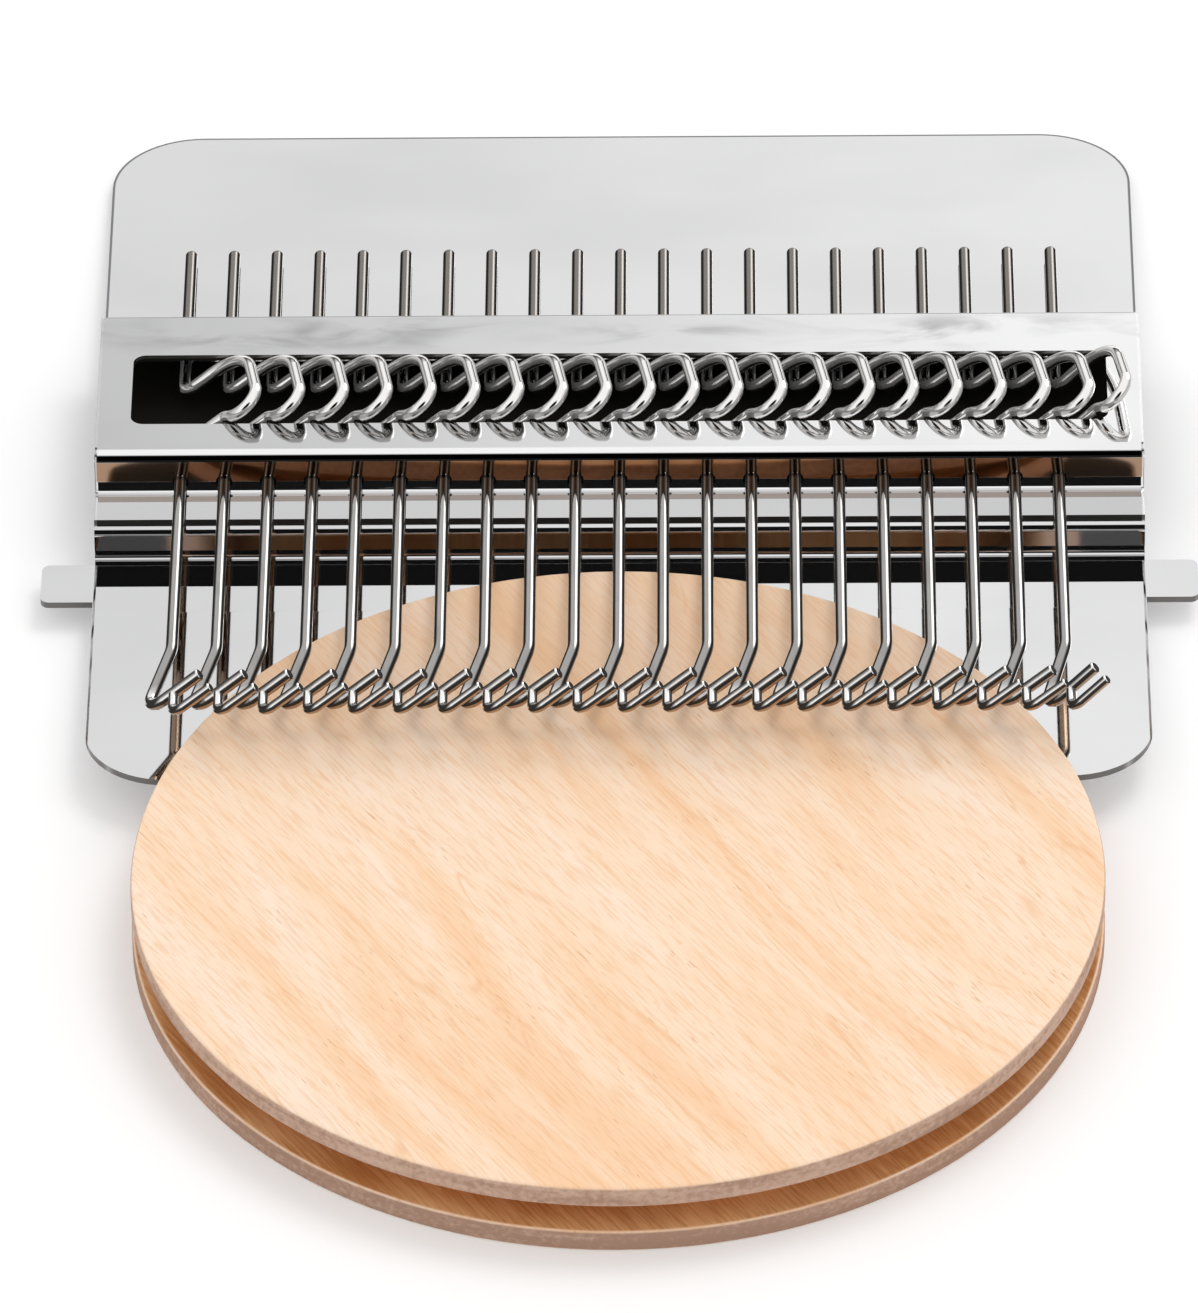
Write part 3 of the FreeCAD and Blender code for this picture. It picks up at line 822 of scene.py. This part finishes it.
@dataclass(frozen=True)
class LoomFrame:
    """The folded plate and the slotted channel that stands on it.

    Lengths are in millimetres and angles in degrees.

    Attributes:
        plate_half: half the plate's width, without its ears.
        plate_rear: the depth of its rear edge.
        corner: the radius of its rear corners.
        outline_start: the depth from which its outline shows.
        plate_walls: the front and the rear of the plate's one upright wall.
        plate_inside: the front, the rear and the height of the part of it in the channel.
        step: the depths where the plate seems to lean before its step, where it seems steep, and
            where the step ends.
        step_angles: how far it seems to lean before its step and at it.
        channel_walls: the front and the rear of the channel's two upright walls.
        channel_inside: the front, the rear and the height of the channel's inside.
        flange_rear: the depth at which the channel's flange ends.
        web_rear: the depth behind its front web.
        fold_rear: the depth behind the fold between that web and the roof.
        web_levels: the level where the web's painted brown reflection begins, where its painted shade
            does, and where that ends.
        web_angle: how far the web seems to lean.
        foot_angle: how much further its foot does.
        channel_clouds: the strength of the smear on the roof.
    """

    plate_half: float = 47.75
    plate_rear: float = 117.18
    corner: float = 8.5
    outline_start: float = 80.0
    plate_walls: tuple[Pair, ...] = ((49.7, 52.5),)
    plate_inside: Triple = (57.0, 79.5, 30.0)
    step: Triple = (42.5, 46.6, 50.0)
    step_angles: Pair = (15.0, 52.0)
    channel_walls: tuple[Pair, ...] = ((55.0, 58.5), (77.5, 81.0))
    channel_inside: Triple = (57.05, 78.8, 13.9)
    flange_rear: float = 56.3
    flange_angle: float = 15.0
    web_rear: float = 57.3
    fold_rear: float = 57.4
    web_levels: Triple = (6.9, 9.0, 9.62)
    web_angle: float = -11.5
    foot_angle: float = -22.0
    channel_clouds: float = 0.65
    # Painted reflections: each sheet's colour at its left end and at its right one.
    plate_painted_reflections: tuple[Triple, Triple] = ((0.70, 0.70, 0.705), (0.80, 0.80, 0.805))
    channel_painted_reflections: tuple[Triple, Triple] = ((0.55, 0.55, 0.555), (0.92, 0.92, 0.925))
    # Painted light on the channel: the fold's dark line is painted shade, its pale front a painted
    # highlight, the flange a painted reflection, and the web's brown a painted reflection of the wood.
    shade_tint: Triple = (0.020, 0.018, 0.016)
    fold_painted_highlight: Triple = (0.92, 0.92, 0.925)
    flange_painted_reflection: Triple = (0.62, 0.62, 0.625)
    web_painted_reflection: Triple = (0.37, 0.235, 0.150)

    def plate_finish(self) -> MirrorSteel:
        """Describe the plate's steel, with slopes at its step and a painted dark reflection line along
        its rear edge.

        Returns:
            Its finish.
        """
        front, foot, rear = self.step
        gentle, steep = self.step_angles
        slopes = (Slope(Axis.Y, front, foot, gentle), Slope(Axis.Y, foot, rear, steep))
        # Painted reflection: a dark line along the rear edge and its corners.
        outline = Outline(self.plate_half, self.plate_rear, self.corner, self.outline_start)
        return MirrorSteel("plate_steel_finish", *self.plate_painted_reflections, self.plate_walls, self.plate_inside,
                           (outline,), slopes)

    def channel_finish(self) -> MirrorSteel:
        """Describe the channel's steel, with slopes on its web and flange and painted reflections and
        shade at its folds.

        Returns:
            Its finish.
        """
        foot, top, roof = self.web_levels
        slopes = (Slope(Axis.Z, -PAST_CHANNEL, PAST_CHANNEL, self.web_angle),
                  Slope(Axis.Z, -PAST_CHANNEL, foot, self.foot_angle),
                  Slope(Axis.Y, -PAST_CHANNEL, self.flange_rear, self.flange_angle))
        # Painted highlight at the fold, painted reflections on the flange and web, painted shade on the
        # fold's dark line.
        bands = (Band(Axis.Y, 0.0, self.fold_rear, self.fold_painted_highlight),
                 Band(Axis.Y, 0.0, self.flange_rear, self.flange_painted_reflection),
                 Band(Axis.Z, foot, top, self.web_painted_reflection, self.web_rear),
                 Band(Axis.Z, top, roof, self.shade_tint, self.web_rear))
        return MirrorSteel("channel_steel_finish", *self.channel_painted_reflections, self.channel_walls,
                           self.channel_inside, bands, slopes, cloud_strength=self.channel_clouds)

    def dress(self) -> list[bpy.types.Object]:
        """Finish both sheets in polished steel and return them."""
        finishes = {"base_plate": self.plate_finish(), "hook_channel": self.channel_finish()}
        return [dress(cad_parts[node], finish.material()) for node, finish in finishes.items()]


@dataclass(frozen=True)
class HookRow:
    """The row of bent wires that swing in the channel."""

    count: int = 21

    def dress(self) -> list[bpy.types.Object]:
        """Finish every wire alike.

        Returns:
            The wires, in order.
        """
        material = DrawnWire("hook_wire_finish").material()
        names = [f"hook_{number:02d}" for number in range(1, self.count + 1)]
        return [dress(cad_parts[name], material) for name in names]


@dataclass(frozen=True)
class WoodenDisc:
    """The turned disc that the cloth is stretched over, with its groove. Millimetres."""

    groove_low: float = 2.2
    groove_high: float = 4.9
    lip_radius: float = 42.9

    def dress(self) -> list[bpy.types.Object]:
        """Finish the disc in bare birch and return it."""
        finish = SandedBirch("disc_wood_finish", self.groove_low, self.groove_high, self.lip_radius)
        return [dress(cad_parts["wooden_disc"], finish.material())]


class Ray(Enum):
    """The kinds of ray that may see the surround as it looks, and not as light."""

    CAMERA = "Is Camera Ray"
    GLOSSY = "Is Glossy Ray"
    CLEAR = "Is Transmission Ray"


@dataclass(frozen=True)
class Patch:
    """A round patch of the room, with the angles from its middle where it is full and where it ends.

    All are in degrees: the azimuth from the front to the right, and the elevation.
    """

    azimuth: float
    elevation: float
    full: float
    end: float

    def mask(self, graph: Graph, direction: Signal) -> Signal:
        """Return where the patch is.

        Args:
            graph: the world's graph.
            direction: the direction that is looked in.

        Returns:
            1 in the patch and 0 elsewhere.
        """
        turn, rise = math.radians(self.azimuth), math.radians(self.elevation)
        middle = (math.sin(turn) * math.cos(rise), -math.cos(turn) * math.cos(rise), math.sin(rise))
        end, full = (math.cos(math.radians(angle)) for angle in (self.end, self.full))
        return graph.mask(graph.along(direction, middle), end, full)


@dataclass(frozen=True)
class Studio:
    """A white table in a white room, with one soft lamp above, to the rear right.

    Only polished steel sees the room's own marks: a dark end in front, a dark skirting at the level of
    the table, and one bright window. Lengths are in metres and angles in degrees.
    """

    floor_half: float = 3.0
    floor_cells: int = 4
    floor_colour: Triple = (0.84, 0.835, 0.835)
    glow: float = 0.18
    ambient: float = 0.885
    dark_end: Patch = Patch(0.0, 36.0, 20.0, 28.0)
    dark_level: float = 0.006
    skirting: Pair = (3.0, 14.0)
    skirting_level: float = 0.03
    window: Patch = Patch(148.0, 24.0, 9.6, 22.4)
    window_gain: float = 3.5
    lamp_place: Triple = (0.34, 0.40, 0.95)
    lamp_aim: Triple = (0.0, 0.03, 0.0)
    lamp_size: Pair = (0.55, 0.45)
    lamp_power: float = 2.5

    def build(self) -> None:
        """Make the table top, the surround and the lamp."""
        self.build_floor()
        self.build_surround()
        self.build_lamp()

    @staticmethod
    def seen(graph: Graph, *rays: Ray) -> Signal:
        """Tell kinds of ray from others.

        Args:
            graph: the graph of a material or of the world.
            rays: the kinds that are wanted.

        Returns:
            1 for these kinds of ray and 0 for others.
        """
        found, *others = [graph.node("ShaderNodeLightPath", {}, {}, ray.value) for ray in rays]
        for signal in others:
            found = found.either(signal)
        return found

    def build_floor(self) -> None:
        """Lay the table top, which shows white and keeps the loom's shadow."""
        bpy.ops.object.select_all(action="DESELECT")
        bpy.ops.mesh.primitive_grid_add(x_subdivisions=self.floor_cells, y_subdivisions=self.floor_cells,
                                        size=self.floor_half * 2)
        floor = bpy.context.object
        floor.name = "table_top"
        material, graph = new_graph("table_white")
        seen = self.seen(graph, Ray.CAMERA, Ray.GLOSSY, Ray.CLEAR)
        graph.surface({
            "Base Color": (*self.floor_colour, 1.0),
            "Roughness": 1.0,
            "Specular IOR Level": 0.0,
            "Emission Color": graph.blend(seen, (0.0, 0.0, 0.0), (1.0, 1.0, 1.0)),
            "Emission Strength": self.glow,
        })
        dress(floor, material)

    def room(self, graph: Graph) -> Signal:
        """Return the room as polished steel shows it.

        Args:
            graph: the world's graph.

        Returns:
            Its brightness in each direction.
        """
        direction = graph.node("ShaderNodeTexCoord", {}, {}, "Generated")
        low, high = (math.sin(math.radians(angle)) for angle in self.skirting)
        wall = graph.mask(abs(graph.part(direction, Axis.Z)), low, high)
        wall = wall * (1.0 - self.skirting_level) + self.skirting_level
        shade = (1.0 - self.dark_end.mask(graph, direction) * (1.0 - self.dark_level)) * wall
        return shade + self.window.mask(graph, direction) * self.window_gain

    def build_surround(self) -> None:
        """Set a world that is white to the camera, the room to steel, and softer as light."""
        world = bpy.data.worlds.new("white_surround")
        bpy.context.scene.world = world
        graph = Graph(world)
        clear = self.seen(graph, Ray.CAMERA, Ray.CLEAR)
        glossy = self.seen(graph, Ray.GLOSSY)
        level = clear * (1.0 - self.ambient) + glossy * (self.room(graph) - self.ambient) + self.ambient
        graph.finish(graph.node("ShaderNodeBackground", {}, {"Color": level, "Strength": 1.0}))

    def build_lamp(self) -> None:
        """Hang the lamp, which steel doesn't mirror."""
        lamp = bpy.data.lights.new("rear_lamp", "AREA")
        lamp.shape = "RECTANGLE"
        lamp.size, lamp.size_y = self.lamp_size
        lamp.energy = self.lamp_power
        hung = bpy.data.objects.new("rear_lamp", lamp)
        hung.location = self.lamp_place
        aim = Vector(self.lamp_aim) - hung.location
        hung.rotation_mode = "QUATERNION"
        hung.rotation_quaternion = aim.to_track_quat("-Z", "Y")
        hung.visible_glossy = False
        bpy.context.scene.collection.objects.link(hung)


@dataclass(frozen=True)
class PhotoCamera:
    """The camera where the photograph's stood: in front, looking down at the loom.

    Angles are in degrees and places in metres, and the lens and its sensor in millimetres.
    """

    azimuth: float = 0.62349
    elevation: float = 38.61487
    roll: float = -0.68723
    distance: float = 1.391893
    aim: Triple = (-0.0017931, 0.0330373, 0.005)
    lens: float = 424.30
    sensor: float = 36.0
    sight: float = 20.0

    def build(self) -> None:
        """Place the camera and make it the scene's."""
        azimuth, elevation, roll = map(math.radians, (self.azimuth, self.elevation, self.roll))
        back = Vector((math.sin(azimuth) * math.cos(elevation), -math.cos(azimuth) * math.cos(elevation),
                       math.sin(elevation)))
        level = Vector((math.cos(azimuth), math.sin(azimuth), 0.0))
        upright = back.cross(level)
        right = level * math.cos(roll) + upright * math.sin(roll)
        up = upright * math.cos(roll) - level * math.sin(roll)
        data = bpy.data.cameras.new("photo_camera")
        data.lens = self.lens
        data.sensor_width = self.sensor
        data.clip_end = self.sight
        camera = bpy.data.objects.new("photo_camera", data)
        turn = Matrix((right, up, back)).transposed().to_4x4()
        camera.matrix_world = Matrix.Translation(Vector(self.aim) + back * self.distance) @ turn
        bpy.context.scene.collection.objects.link(camera)
        bpy.context.scene.camera = camera


def main() -> None:
    """Build the camera, the studio and the loom's finishes, and report each piece."""
    logging.basicConfig(level=logging.INFO, format="%(message)s")
    bpy.context.scene.view_settings.view_transform = "Standard"
    PhotoCamera().build()
    Studio().build()
    for part in (LoomFrame(), HookRow(), WoodenDisc()):
        for piece in part.dress():
            log.info("%s is finished in %s", piece.name, piece.active_material.name)


if __name__ == "__main__":
    main()
